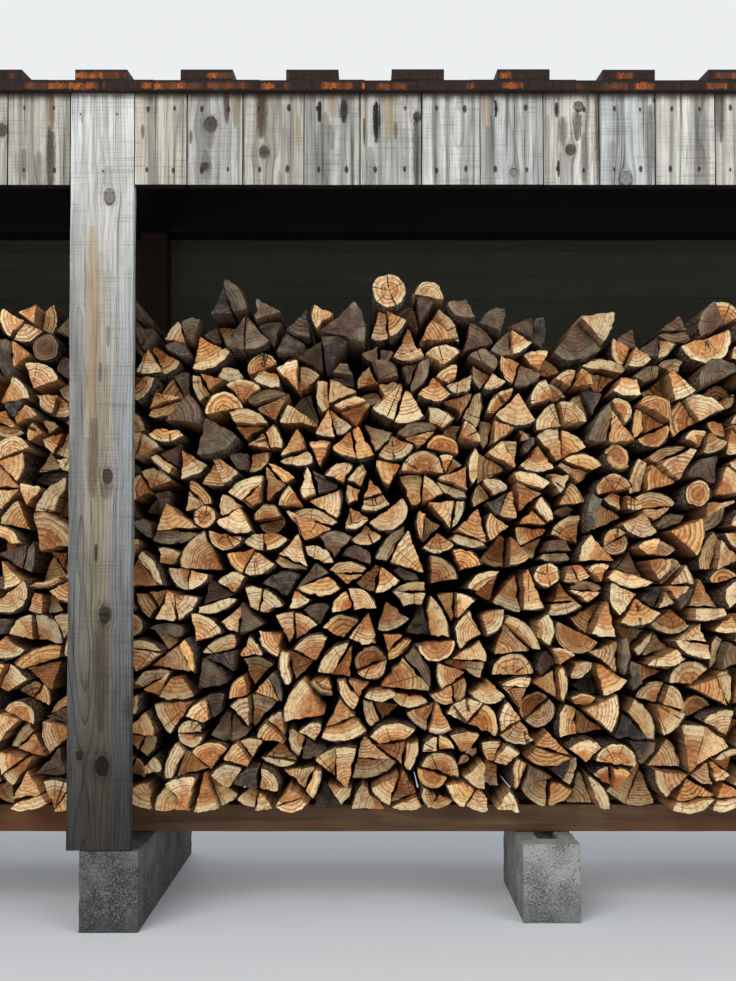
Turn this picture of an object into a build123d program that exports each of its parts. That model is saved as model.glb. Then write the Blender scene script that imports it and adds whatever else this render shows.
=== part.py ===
from build123d import *

import math
import os
import random

import numpy

# Log store of two bays on concrete blocks, filled with split firewood.
# Millimetres. X runs along the front, the open front faces -Y, Z is up from the ground.
# The origin is on the ground, in the middle of the length and of the roof's depth.

# The frame in plan, two bays long
bay_length = 2100
rear_post_setback = 620
front_sill_setback = 207

# Heights and the fall of the roof
deck_height = 1986
roof_slope = 8.7
fascia_depth = 223
header_depth = 196
top_beam_drop = 131

# Timber sections
front_post_width = 152
front_post_thickness = 28
rear_post_size = 80
header_thickness = 45
cross_beam_width = 98
sill_width = 70
sill_height = 70

# Boards
fascia_board_width = 139
roof_board_width = 125
roof_board_thickness = 25
roof_front_overhang = 18
roof_end_overhang = 150
roof_depth = 818
back_board_width = 142
back_board_thickness = 22
slat_width = 120
slat_thickness = 22
slat_spacing = 160
joint_gap = 0.8

# Hollow concrete blocks
block_length = 390
block_width = 140
block_height = 190
core_length = 105
core_width = 50
core_end_wall = 60
block_gap = 5
block_offset = 25
middle_block_setback = 75

# Firewood
log_length = 500
log_length_spread = 45
log_setback = 80
log_end_scatter = 22
log_deepest = 95
log_post_clearance = 8
log_gap = 0.4
stick_size = 67
smallest_stick, largest_stick, usual_stick = 0.6, 1.45, 0.95
space_over_stack = 395
stack_wave = 28
stack_wave_length = 1190
stack_ripple_length = 446

# How each stick's place is chosen
place_step = 8
turn_count = 8
level_weight = 2
tallness_weight = 0.6

# Planes and lines that the pieces share
front_y = roof_front_overhang - roof_depth / 2
post_lines = {"left": -bay_length, "middle": 0, "right": bay_length}
bay_starts = {"left": -bay_length, "right": 0}
post_back_y = front_y + front_post_thickness
header_back_y = post_back_y + header_thickness
rear_y = front_y + rear_post_setback
back_y = rear_y + rear_post_size
fascia_bottom = deck_height - fascia_depth
header_bottom = deck_height - header_depth
top_beam_bottom = deck_height - top_beam_drop
beam_end = bay_length + cross_beam_width / 2
sill_y = front_y + front_sill_setback
log_middle_y = front_y + log_setback + log_length / 2
rear_sill_y = 2 * log_middle_y - sill_y - sill_width
sill_top = block_height + sill_height
slat_x = bay_length - rear_post_size / 2 - slat_thickness
slat_count = int((header_bottom - sill_top - slat_width) / slat_spacing) + 1
stack_height = top_beam_bottom - sill_top - space_over_stack


def deck_under(y):
    """Height of the roof boards' underside at a depth."""
    return deck_height + (y - front_y) * math.tan(math.radians(roof_slope))


def bar(x0, x1, y0, y1, z0, z1):
    """A squared timber between two corners."""
    return Pos((x0 + x1) / 2, (y0 + y1) / 2, (z0 + z1) / 2) * Box(x1 - x0, y1 - y0, z1 - z0)


def swept_along_x(profile, x0, x1):
    """A side profile of (y, z) points carried along the length."""
    face = Face(Wire.make_polygon([Vector(x0, y, z) for y, z in profile], close=True))
    return Solid.extrude(face, Vector(x1 - x0, 0, 0))


def under_deck(x0, x1, y0, y1, z0):
    """A timber with a level foot and its top cut to the fall of the roof."""
    return swept_along_x([(y0, z0), (y1, z0), (y1, deck_under(y1)), (y0, deck_under(y0))], x0, x1)


def roof_board(x0, x1, layer):
    """A roof board with plumb ends, in the lower layer 0 or the upper layer 1."""
    rise = roof_board_thickness / math.cos(math.radians(roof_slope))
    y0, y1 = front_y - roof_front_overhang, front_y - roof_front_overhang + roof_depth
    z0, z1 = deck_under(y0) + layer * rise, deck_under(y1) + layer * rise
    return swept_along_x([(y0, z0), (y1, z1), (y1, z1 + rise), (y0, z0 + rise)], x0, x1)


def block(x, y):
    """A hollow block laid front to back, centred on x, with its front at y."""
    body = bar(x - block_width / 2, x + block_width / 2, y, y + block_length, 0, block_height)
    half = core_width / 2
    for core_y in (y + core_end_wall, y + block_length - core_end_wall - core_length):
        body -= bar(x - half, x + half, core_y, core_y + core_length, 0, block_height)
    return body


def blocks():
    """A pair end to end under each post line, and one under the middle of each bay."""
    nodes = {}
    for name, x in post_lines.items():
        nodes[f"front_block_{name}"] = block(x + block_offset, front_y)
        nodes[f"rear_block_{name}"] = block(x + block_offset, front_y + block_length + block_gap)
    for name, x in bay_starts.items():
        nodes[f"bay_block_{name}"] = block(x + bay_length / 2 + block_offset, front_y + middle_block_setback)
    return nodes


def posts_and_cross_beams():
    """Plank front posts, square rear posts and the cross beams that tie them."""
    nodes = {}
    for name, x in post_lines.items():
        half = front_post_width / 2
        nodes[f"front_post_{name}"] = under_deck(x - half, x + half, front_y, post_back_y, block_height)
        half = rear_post_size / 2
        nodes[f"rear_post_{name}"] = bar(x - half, x + half, rear_y, back_y, block_height, top_beam_bottom)
        half = cross_beam_width / 2
        nodes[f"cross_beam_{name}"] = under_deck(x - half, x + half, header_back_y, rear_y, top_beam_bottom)
    return nodes


def long_timbers():
    """Sills, front header and rear beam, each in one length a bay."""
    nodes = {}
    for name, x0, x1 in (("left", -beam_end, -joint_gap / 2), ("right", joint_gap / 2, beam_end)):
        for row, y in (("front", sill_y), ("rear", rear_sill_y)):
            nodes[f"{row}_sill_{name}"] = bar(x0, x1, y, y + sill_width, block_height, sill_top)
        nodes[f"front_header_{name}"] = under_deck(x0, x1, post_back_y, header_back_y, header_bottom)
        nodes[f"rear_beam_{name}"] = under_deck(x0, x1, rear_y, back_y, top_beam_bottom)
    return nodes


def fascia():
    """Upright boards between the front posts."""
    nodes = {}
    for name, x in bay_starts.items():
        start = x + front_post_width / 2
        clear = bay_length - front_post_width
        count = round(clear / fascia_board_width)
        pitch = clear / count
        nodes[f"fascia_boards_{name}"] = [
            under_deck(
                start + i * pitch + joint_gap / 2,
                start + (i + 1) * pitch - joint_gap / 2,
                front_y,
                post_back_y,
                fascia_bottom,
            )
            for i in range(count)
        ]
    return nodes


def roof():
    """A close lower layer of boards, and upper boards over every second joint and at both ends."""
    nodes = {}
    length = bay_length + roof_end_overhang
    count = round(length / roof_board_width)
    pitch = length / count
    half = (pitch - joint_gap) / 2
    for name, side in (("left", -1), ("right", 1)):
        lower = [side * (i + 0.5) * pitch for i in range(count)]
        upper = [side * i * pitch for i in range(2, count - 1, 2)]
        upper.append(side * (length - pitch / 2))
        if side > 0:
            upper.append(0)
        nodes[f"roof_lower_boards_{name}"] = [roof_board(x - half, x + half, 0) for x in lower]
        nodes[f"roof_upper_boards_{name}"] = [roof_board(x - half, x + half, 1) for x in upper]
    return nodes


def back_boards():
    """Level boards on the backs of the rear posts, the top one cut under the roof."""
    nodes = {}
    for name, x0, x1 in (("left", -beam_end, -joint_gap / 2), ("right", joint_gap / 2, beam_end)):
        y1 = back_y + back_board_thickness
        boards = []
        z = sill_top
        while z + 2 * back_board_width < deck_under(back_y):
            boards.append(bar(x0, x1, back_y, y1, z, z + back_board_width - joint_gap))
            z += back_board_width
        boards.append(under_deck(x0, x1, back_y, y1, z))
        nodes[f"back_boards_{name}"] = boards
    return nodes


def end_slats():
    """Spaced level boards that hold the stack in at each end."""
    nodes = {}
    for name, x0 in (("left", -slat_x - slat_thickness), ("right", slat_x)):
        nodes[f"end_slats_{name}"] = [
            bar(x0, x0 + slat_thickness, post_back_y, back_y, z, z + slat_width)
            for z in (sill_top + i * slat_spacing for i in range(slat_count))
        ]
    return nodes


def keep_side(outline, point, normal):
    """The part of a convex outline that lies on the normal's side of a line through the point."""
    kept = []
    for a, b in zip(outline, outline[1:] + outline[:1]):
        da = (a[0] - point[0]) * normal[0] + (a[1] - point[1]) * normal[1]
        db = (b[0] - point[0]) * normal[0] + (b[1] - point[1]) * normal[1]
        if da > -0.01:
            kept.append(a)
        if (da > 0.01 and db < -0.01) or (da < -0.01 and db > 0.01):
            t = da / (da - db)
            kept.append((a[0] + t * (b[0] - a[0]), a[1] + t * (b[1] - a[1])))
    return kept


def arc(radius, spread, count):
    """Points evenly along an arc that faces +X, its middle at the origin."""
    turns = [spread * (i / (count - 1) - 0.5) for i in range(count)]
    return [(radius * math.cos(turn), radius * math.sin(turn)) for turn in turns]


def split_stick(rng):
    """End outline of a stick with the pith at the origin: a wedge, a half, a tipless wedge or a round."""
    size = stick_size * rng.triangular(smallest_stick, largest_stick, usual_stick)
    kind = rng.choices(["wedge", "half", "tipless", "round"], [66, 13, 16, 5])[0]
    if kind == "round":
        return arc(size * math.sqrt(1 / math.pi), math.tau * 5 / 6, 6)
    if kind == "half":
        return arc(size * math.sqrt(2 / math.pi), math.pi, 4)
    spread = math.radians(rng.uniform(45, 105))
    radius = size * math.sqrt(2 / spread)
    outline = [(0, 0)] + arc(radius, spread, 3)
    if kind == "tipless":
        outline = keep_side(outline, (radius * rng.uniform(0.25, 0.5), 0), (1, 0))
    return outline


def turned(outline, turn):
    cos, sin = math.cos(turn), math.sin(turn)
    return [(x * cos - z * sin, x * sin + z * cos) for x, z in outline]


def moved(outline, across, up):
    return [(x + across, z + up) for x, z in outline]


def under_and_upper_side(outline):
    """A convex outline's points from its left end to its right end, along the bottom and along the top."""
    start = outline.index(min(outline))
    ring = outline[start:] + outline[:start]
    end = ring.index(max(ring))
    return numpy.array(ring[: end + 1]), numpy.array(ring[end:] + ring[:1])[::-1]


def height_at(side, x):
    return numpy.interp(x, side[:, 0], side[:, 1])


def best_place(outline, skyline):
    """Where an outline lies lowest with the least room lost under it: score, left end, heights over it."""
    under, upper = under_and_upper_side(outline)
    left, right = under[0, 0], under[-1, 0]
    count = max(2, math.ceil((right - left) / place_step))
    columns = left + (numpy.arange(count) + 0.5) * (right - left) / count
    low, high = height_at(under, columns), height_at(upper, columns)
    windows = numpy.lib.stride_tricks.sliding_window_view(skyline, count)
    lifts = (windows - low).max(axis=1)
    lost = (lifts[:, None] + low - windows).sum(axis=1) / (high - low).sum()
    x = place_step * (numpy.arange(len(lifts)) + count / 2)
    wave = numpy.sin(math.tau * x / stack_wave_length) + 0.6 * numpy.sin(math.tau * x / stack_ripple_length)
    level = lifts + (low + high).mean() / 2 - stack_wave * wave
    tallness = numpy.ptp([z for _, z in outline]) / (right - left)
    scores = lost + level_weight * level / stick_size + tallness_weight * tallness + 1e-6 * x / stick_size
    i = int(scores.argmin())
    return scores[i], i, level[i], lifts[i] + high


def rise_to_rest(outline, stack):
    """How far an outline has to rise to lie on the sills or on the sticks that are already placed."""
    under, _ = under_and_upper_side(outline)
    rise = sill_top - under[:, 1].min()
    for upper in stack:
        left, right = max(under[0, 0], upper[0, 0]), min(under[-1, 0], upper[-1, 0])
        if left < right:
            corners = [x for x in (*under[:, 0], *upper[:, 0]) if left < x < right]
            x = numpy.array([left, right] + corners)
            rise = max(rise, (height_at(upper, x) - height_at(under, x)).max())
    return rise + log_gap


def stack_outlines(rng):
    """Sticks laid one by one where each lies lowest, until the stack is full."""
    stack_left = log_gap - slat_x
    skyline = numpy.zeros(int(-2 * stack_left / place_step))
    outlines, stack = [], []
    while True:
        stick = split_stick(rng)
        start = rng.uniform(0, math.tau)
        turns = [turned(stick, start + i * math.tau / turn_count) for i in range(turn_count)]
        places = [best_place(outline, skyline) for outline in turns]
        best = min(range(turn_count), key=lambda i: places[i][0])
        _, column, level, tops = places[best]
        if level > stack_height:
            return outlines
        skyline[column : column + len(tops)] = tops
        outline = turns[best]
        outline = moved(outline, stack_left + column * place_step - min(outline)[0], 0)
        outline = moved(outline, 0, rise_to_rest(outline, stack))
        outlines.append(outline)
        stack.append(under_and_upper_side(outline)[1])


def firewood():
    """One row of split logs from the sills up to an uneven top, in four lifts a bay."""
    rng = random.Random(7)
    lifts = ["bottom", "lower", "upper", "top"]
    nodes = {f"firewood_{bay}_{lift}": [] for bay in bay_starts for lift in lifts}
    for outline in stack_outlines(rng):
        x = sum(point[0] for point in outline) / len(outline)
        z = sum(point[1] for point in outline) / len(outline)
        y = front_y + log_setback + min(log_deepest, rng.expovariate(1 / log_end_scatter))
        length = min(rear_y - log_post_clearance - y, log_length - rng.uniform(0, log_length_spread))
        bay = "left" if x < 0 else "right"
        lift = lifts[min(3, int(4 * (z - sill_top) / stack_height))]
        face = Face(Wire.make_polygon([Vector(x, y, z) for x, z in outline], close=True))
        nodes[f"firewood_{bay}_{lift}"].append(Solid.extrude(face, Vector(0, length, 0)))
    return nodes


def main():
    os.makedirs("parts", exist_ok=True)
    nodes = {}
    for group in (
        blocks,
        posts_and_cross_beams,
        long_timbers,
        fascia,
        roof,
        back_boards,
        end_slats,
        firewood,
    ):
        nodes.update(group())
    for name, shape in nodes.items():
        solids = shape if isinstance(shape, list) else [shape]
        export_step(Compound(children=solids), f"parts/{name}.step")


main()
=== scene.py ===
import math
import random

import bmesh
import bpy
from mathutils import Matrix, Vector, noise
from mathutils.geometry import intersect_line_line


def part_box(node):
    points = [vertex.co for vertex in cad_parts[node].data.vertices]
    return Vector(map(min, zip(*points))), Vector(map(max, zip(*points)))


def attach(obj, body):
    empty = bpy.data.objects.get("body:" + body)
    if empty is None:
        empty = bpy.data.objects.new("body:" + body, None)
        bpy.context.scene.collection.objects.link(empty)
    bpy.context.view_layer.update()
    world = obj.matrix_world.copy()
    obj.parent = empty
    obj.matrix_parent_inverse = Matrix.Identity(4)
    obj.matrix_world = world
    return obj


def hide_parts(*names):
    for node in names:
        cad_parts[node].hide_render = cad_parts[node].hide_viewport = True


# Log store: weathered boards and posts, a dark board roof and a wall of split firewood.
# Metres. X runs along the front, the open front faces -Y, Z is up.

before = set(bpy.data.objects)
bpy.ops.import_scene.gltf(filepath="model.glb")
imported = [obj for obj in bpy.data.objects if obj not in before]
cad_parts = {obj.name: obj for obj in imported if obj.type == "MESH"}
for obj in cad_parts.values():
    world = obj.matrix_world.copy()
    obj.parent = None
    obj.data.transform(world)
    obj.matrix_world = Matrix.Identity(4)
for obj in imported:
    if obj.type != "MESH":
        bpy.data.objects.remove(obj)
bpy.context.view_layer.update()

# The photograph's frame and camera
IMAGE_HEIGHT = 981
MIDDLE_COLUMN = 368
AXIS_ROW = 563
FOCAL_PIXELS = 1096
EYE_HEIGHT = 0.797
EYE_DISTANCE = 2.58
EYE_ACROSS = 0.632
TILT_UP = math.radians(1.5)

# Places on the front, in the photograph's pixels.
# Knots: column, row, radius, darkness. Stains: column, top row, bottom row, half width, then
# how dark the colour is, from tan to black, and how strong.
FASCIA_JOINT_COLUMNS = (8, 187, 243, 304, 360, 421.5, 480, 543, 599, 655, 715)
NAIL_ROWS = (108.5, 169.5)
SCREWS = ((80.4, 114), (117, 114), (103, 171), (100, 364), (100, 821))
FASCIA_KNOTS = (
    (1.7, 130, 5, 1.0),
    (210.6, 124, 6, 1.0),
    (205, 166, 3.5, 1.0),
    (264, 152, 4.5, 0.9),
    (417.4, 117, 4, 1.0),
    (513.8, 172, 3.4, 0.45),
    (578.8, 106.5, 4.4, 0.75),
    (570.6, 149.5, 4.4, 0.9),
    (626, 179, 6, 0.4),
)
FASCIA_STAINS = (
    (52, 92, 133, 3, 0.35, 0.7),
    (51, 124, 200, 5.5, 0.9, 0.75),
    (133, 84, 142, 2.5, 0.4, 0.7),
    (142.6, 124, 139, 2, 0.6, 0.7),
    (190.7, 130, 144, 2, 0.7, 0.7),
    (210.6, 128, 150, 4, 0.6, 0.45),
    (226.4, 88, 125, 4, 0.55, 0.8),
    (235.5, 86, 130, 3.5, 0.2, 0.6),
    (261.5, 78, 140, 6, 0.6, 0.85),
    (298, 114, 148, 3, 0.1, 0.5),
    (319.6, 101, 124, 3.4, 1.0, 0.9),
    (325, 112, 200, 9, 0.9, 0.42),
    (333, 84, 120, 5, 0.15, 0.55),
    (344, 99, 124, 5, 0.95, 0.85),
    (364.5, 118, 146, 1.6, 0.9, 0.7),
    (376, 101, 144, 4.4, 1.0, 0.95),
    (389, 80, 142, 5, 0.1, 0.55),
    (395.5, 122, 140, 2.2, 0.5, 0.6),
    (416, 112, 200, 4.5, 0.85, 0.75),
    (435, 100, 186, 5, 0.95, 0.3),
    (483.8, 84, 132, 2, 0.08, 0.6),
    (488.6, 88, 134, 1.6, 0.08, 0.55),
    (490, 114, 204, 8, 0.85, 0.36),
    (495.8, 100, 119, 2.6, 1.0, 0.95),
    (548, 114, 196, 3, 0.85, 0.35),
    (556.8, 102, 119, 2.4, 1.0, 0.9),
    (558.5, 159, 178, 2, 1.0, 0.9),
    (563, 116, 150, 5, 0.85, 0.6),
    (565, 140, 196, 7, 0.95, 0.35),
    (577.5, 108, 142, 5, 0.75, 0.75),
    (584, 132, 184, 4.5, 0.9, 0.5),
    (597, 76, 196, 2.8, 0.85, 0.7),
    (613, 140, 196, 6, 0.95, 0.3),
    (650, 104, 196, 4.2, 0.62, 0.6),
    (654, 98, 118, 1.8, 1.0, 0.8),
    (700.5, 96, 196, 6, 0.95, 0.35),
    (720, 74, 144, 5.5, 0.8, 0.7),
    (39, 150, 200, 5, 0.9, 0.45),
    (24, 148, 182, 3.5, 0.9, 0.4),
    (371, 146, 190, 5, 0.95, 0.35),
    (404, 128, 190, 4, 0.9, 0.3),
)
POST_KNOTS = (
    (109.5, 197, 5, 0.6),
    (107.4, 476, 4.6, 0.8),
    (104.8, 615, 5.2, 1.0),
    (101.8, 766, 6.2, 1.0),
    (79.5, 756, 3, 0.6),
)
POST_STAINS = (
    (69.5, 110, 128, 3.5, 0.95, 0.45),
    (108, 165, 188, 6, 0.95, 0.22),
    (76, 190, 740, 7, 0.95, 0.24),
    (93, 225, 440, 8, 0.08, 0.45),
    (93, 412, 500, 7, 0.5, 0.5),
    (108, 325, 348, 2, 0.55, 0.5),
    (100.3, 364, 384, 2, 0.8, 0.5),
    (106, 480, 500, 7, 0.9, 0.4),
    (96.3, 544, 562, 2, 0.9, 0.75),
    (101, 618, 735, 9, 0.5, 0.5),
    (128, 695, 722, 6, 0.95, 0.3),
)

front_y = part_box("front_post_middle")[0].y
post_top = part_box("front_post_middle")[1].z
post_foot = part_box("front_post_middle")[0].z
sill_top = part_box("front_sill_left")[1].z
stack_top = max(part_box(f"firewood_{bay}_top")[1].z for bay in ("left", "right"))
ROOF_BOARD_DEPTH = 0.0253
NAIL_HEAD, SCREW_HEAD, HEAD_STANDS = 0.0024, 0.0028, 0.0006
NAIL_STAIN_HEIGHT = 0.55  # how far each nail's stain is drawn out upright: less is longer
FACE_STEP = 0.012  # how finely a face that shows knots and stains is divided
KNOTS_PER_AREA, STAINS_PER_AREA = 22, 55  # in a square metre of boards out of the photograph
STAIN_REACH = 2.2  # in half widths
NONE_NEAR = (1, 1, 0.001)  # stands for a knot or nail that is a metre off
FLOOR_FADES = (3.5, 13.0)  # from where to where the floor turns into the background


def on_front(column, row):
    """The place on the front plane, across and up, that a pixel of the photograph shows."""
    angle = math.atan((AXIS_ROW - row) / FOCAL_PIXELS) + TILT_UP
    up = EYE_DISTANCE * math.tan(angle)
    depth = EYE_DISTANCE * math.cos(TILT_UP) + up * math.sin(TILT_UP)
    return EYE_ACROSS + (column - MIDDLE_COLUMN) * depth / FOCAL_PIXELS, EYE_HEIGHT + up


PIXEL_SIZE = EYE_DISTANCE / FOCAL_PIXELS


class Value:
    """A number, vector or colour that nodes work out. [0], [1] and [2] are its parts."""

    def __init__(self, finish, socket):
        self.finish = finish
        self.socket = socket

    def __getitem__(self, axis):
        return self.finish.add("ShaderNodeSeparateXYZ", {0: self}, axis)

    def __add__(self, other):
        return self.finish.math("ADD", self, other)

    def __sub__(self, other):
        return self.finish.math("SUBTRACT", self, other)

    def __rsub__(self, other):
        return self.finish.math("SUBTRACT", other, self)

    def __mul__(self, other):
        return self.finish.math("MULTIPLY", self, other)

    def __truediv__(self, other):
        return self.finish.math("DIVIDE", self, other)

    def __pow__(self, power):
        return self.finish.math("POWER", self, power)

    def __abs__(self):
        return self.finish.math("ABSOLUTE", self)

    __radd__, __rmul__ = __add__, __mul__


class Nodes:
    """The nodes of a material or of the surround, being put together."""

    def __init__(self, owner):
        owner.use_nodes = True
        self.nodes = owner.node_tree.nodes
        self.links = owner.node_tree.links

    def put(self, socket, value):
        value = getattr(value, "socket", value)
        if isinstance(value, bpy.types.NodeSocket):
            self.links.new(value, socket)
        elif value is not None:
            socket.default_value = value

    def add(self, kind, values, output=0, **settings):
        node = self.nodes.new(kind)
        for key, value in settings.items():
            setattr(node, key, value)
        for key, value in values.items():
            self.put(node.inputs[key], value)
        return Value(self, node.outputs[output])

    def math(self, operation, a, b=None):
        return self.add("ShaderNodeMath", {0: a, 1: b}, operation=operation)

    def seen_ray(self):
        """1 for what the camera or a reflection sees, 0 for the light that falls on things."""
        ray = self.nodes.new("ShaderNodeLightPath").outputs
        return self.math("MAXIMUM", ray["Is Camera Ray"], ray["Is Glossy Ray"])


class Finish(Nodes):
    """A material being put together."""

    def __init__(self, name, roughness):
        self.material = bpy.data.materials.new(name)
        super().__init__(self.material)
        self.shader = self.nodes["Principled BSDF"]
        self.shader.inputs["Roughness"].default_value = roughness
        self.shader.inputs["Specular IOR Level"].default_value = 0.2

    def vector(self, operation, a, b=None, output=0):
        return self.add("ShaderNodeVectorMath", {0: a, 1: b}, output, operation=operation)

    def length(self, vector):
        return self.vector("LENGTH", vector, None, "Value")

    def stretch(self, vector, across, depth, along):
        return self.vector("MULTIPLY", vector, (across, depth, along))

    def join(self, x, y, z):
        return self.add("ShaderNodeCombineXYZ", {0: x, 1: y, 2: z})

    def attribute(self, name):
        return self.add("ShaderNodeAttribute", {}, "Vector", attribute_name=name)

    def place(self):
        """The place in metres."""
        return self.add("ShaderNodeTexCoord", {}, "Object")

    def noise(self, vector, scale=1.0, detail=3.0, roughness=0.55, distortion=0.0):
        values = {"Vector": vector, "Scale": scale, "Detail": detail}
        values.update({"Roughness": roughness, "Distortion": distortion})
        return self.add("ShaderNodeTexNoise", values)

    def grained(self, place, across, along, detail=2.0, roughness=0.55):
        """A pattern drawn out along the grain."""
        return self.noise(self.stretch(place, across, across, along), 1.0, detail, roughness)

    def cells(self, vector, **settings):
        """Cells: how far a place lies from the nearest middle or edge of one."""
        return self.add("ShaderNodeTexVoronoi", {"Vector": vector, "Scale": 1.0}, "Distance", **settings)

    def step(self, value, low, high):
        """0 below low and 1 above high, smooth between; low may be above high."""
        values = {"Value": value, "From Min": low, "From Max": high, "To Min": 0.0, "To Max": 1.0}
        return self.add("ShaderNodeMapRange", values, interpolation_type="SMOOTHSTEP")

    def spread(self, value, low, high):
        return self.add("ShaderNodeMapRange", {"Value": value, "To Min": low, "To Max": high})

    def mix(self, amount, a, b, blend="MIX"):
        node = self.nodes.new("ShaderNodeMix")
        node.data_type = "RGBA"
        node.blend_type = blend
        for name, kind, value in (("Factor", "VALUE", amount), ("A", "RGBA", a), ("B", "RGBA", b)):
            self.put(next(s for s in node.inputs if (s.name, s.type) == (name, kind)), value)
        return Value(self, next(s for s in node.outputs if s.type == "RGBA"))

    def grey(self, value):
        """A brightness as a colour."""
        return self.add("ShaderNodeCombineColor", {0: value, 1: value, 2: value})

    def over(self, tone, colour, pattern, low, high, amount=1.0):
        """A colour laid over a tone where a pattern passes from low to high."""
        return self.mix(self.step(pattern, low, high) * amount, tone, colour)

    def tinted(self, tone, tint):
        return self.mix(1.0, tone, tint, "MULTIPLY")

    def dimmed(self, tone, light):
        return self.tinted(tone, self.grey(light))

    def scale(self, vector, factor):
        return self.add("ShaderNodeVectorMath", {0: vector, "Scale": factor}, operation="SCALE")

    def finish(self, colour, height=None, strength=0.5, distance=0.001):
        self.put(self.shader.inputs["Base Color"], colour)
        if height is not None:
            values = {"Height": height, "Strength": strength, "Distance": distance}
            self.put(self.shader.inputs["Normal"], self.add("ShaderNodeBump", values))
        return self.material


def rgb(red, green, blue):
    """A colour from its display values, 11 to 255."""
    return tuple(((value / 255 + 0.055) / 1.055) ** 2.4 for value in (red, green, blue)) + (1,)


# Materials


def sawn_grain(f, tint):
    """Grain, fibre and knot patterns of a flat-sawn timber, from its own coordinates."""
    moved = f.vector("ADD", f.attribute("grain"), f.scale(tint, 7.0))
    knot_far = f.cells(f.stretch(moved, 7.5, 0.0, 2.2), feature="F1")
    bend = f.step(knot_far, 0.34, 0.0) * 0.9
    slow = f.grained(moved, 5.0, 0.9)
    late = f.math("FRACT", moved[0] * 38.0 + slow * 9.0 + bend) ** 2.2
    fibre = f.grained(moved, 420.0, 5.0, 3.0, 0.7)
    streak = f.grained(moved, 60.0, 1.3, 3.0, 0.6)
    return moved, late, fibre, streak, f.step(knot_far, 0.085, 0.0595)


def weathered_face(f, ring_rate, light, shade, line, contrast, knot_height):
    """A weathered board's face: growth lines that pass round its knots, fibre, saw marks and stains."""
    grain, tint, knot = f.attribute("grain"), f.attribute("tint"), f.attribute("knot")
    dx, dz, size = (knot[i] for i in range(3))
    far = f.length(f.join(dx, 0.0, dz * 0.6))
    share = f.math("MINIMUM", size / far, 1.0)
    near = f.step(far, size * 5.0, size * 2.0)
    push = share * share * near
    across = grain[0] - dx * push
    moved = f.join(across + tint[0] * 7.0, grain[1], grain[2] + tint[1] * 5.0)

    slow = f.grained(moved, 7.0, 1.5)
    from_heart = across + f.spread(tint[2], -0.05, 0.05)
    to_heart = f.join(from_heart, f.spread(slow, 0.01, 0.07), 0.0)
    counted = f.length(to_heart) * ring_rate
    ring = f.math("FRACT", counted + slow * 2.0) ** 4.0
    fibre = f.grained(moved, 340.0, 3.5, 2.0, 0.6)
    fine = f.grained(moved, 900.0, 14.0, 1.0)
    band = f.grained(moved, 55.0, 1.1, 2.0, 0.6)
    patch = f.grained(moved, 24.0, 14.0)
    broad = f.grained(moved, 26.0, 3.0)
    blotch = f.grained(moved, 190.0, 120.0, 2.0, 0.6)
    marks = f.grained(moved, 5.0, 260.0, 1.0)

    tone = f.over(light, shade, band, 0.38, 0.66, contrast)
    tone = f.over(tone, rgb(104, 102, 100), broad, 0.52, 0.7, 0.45 * contrast)
    tone = f.over(tone, shade, patch, 0.42, 0.66, 0.25)
    tone = f.mix(ring * f.spread(band, 0.15, 0.6), tone, line)
    lines = f.step(fibre, 0.54, 0.68) * f.spread(f.step(band, 0.42, 0.6), 0.25, contrast)
    tone = f.mix(lines, tone, line)
    tone = f.over(tone, line, fine, 0.5, 0.7, 0.36)
    sawn = f.step(marks, 0.52, 0.64) * f.spread(f.step(patch, 0.4, 0.6), 0.25, 1.0)
    tone = f.mix(sawn * 0.26, tone, line)
    warm = f.grained(moved, 16.0, 2.2)
    tone = f.over(tone, rgb(170, 150, 116), warm, 0.55, 0.72, 0.3 * contrast)

    stain, hue, nail = f.attribute("stain"), f.attribute("stain_tone"), f.attribute("nail")
    knot_dark = hue[2]
    ragged = 1.0 + (blotch - 0.5) * 1.3
    round_far = f.length(f.join(dx, 0.0, dz * knot_height))
    knot_far = round_far * ragged / size
    tone = f.mix(f.step(knot_far, 2.4, 1.0) * (knot_dark * 0.4), tone, rgb(112, 98, 84))
    body = f.step(knot_far, 1.2, 0.75)
    knot_ring = f.math("FRACT", knot_far * 2.3 + fine * 0.8)
    pale = f.over(rgb(150, 148, 145), rgb(106, 98, 92), knot_ring, 0.6, 0.9)
    dark = f.mix(knot_ring * f.step(knot_far, 0.0, 0.8), rgb(42, 35, 31), rgb(104, 84, 66))
    knot_tone = f.over(pale, dark, knot_dark, 0.35, 0.95)
    tone = f.mix(body * f.spread(blotch, 0.6, 1.1), tone, knot_tone)
    skin = f.step(knot_far, 1.35, 1.1) * f.step(knot_far, 0.8, 1.0)
    tone = f.mix(skin * f.step(blotch, 0.3, 0.6), tone, rgb(52, 45, 41))

    down = f.math("MAXIMUM", stain[1], 0.0) ** 0.8
    side = abs(stain[0]) + ((fibre - 0.5) * 1.6 + (blotch - 0.5))
    bulge = f.math("MAXIMUM", down * 4.0 * (1.0 - down), 0.0)
    width = bulge ** 0.5
    inside = f.step(side, width + 0.3, width - 0.6) * f.step(width, 0.05, 0.4)
    stain_here = inside * hue[1] * f.spread(blotch, 0.8, 1.35)
    stain_tone = f.mix(f.step(hue[0], 0.0, 0.5), rgb(188, 154, 98), rgb(92, 62, 42))
    stain_tone = f.mix(f.step(hue[0], 0.5, 1.0), stain_tone, rgb(34, 32, 33))
    tone = f.mix(f.math("MINIMUM", stain_here, 1.0), tone, stain_tone)

    nail_far = f.length(f.join(nail[0], 0.0, nail[1] * NAIL_STAIN_HEIGHT))
    nail_far += (blotch - 0.5) * 0.003
    rust = f.step(nail_far, nail[2] + 0.0006, nail[2] * 0.7)
    tone = f.mix(rust * f.spread(blotch, 0.6, 1.15), tone, rgb(38, 35, 34))

    height = ring * -0.5 - lines * 0.6 + (fibre * 0.7 - body * 0.5)
    return tone, height, band


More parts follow.
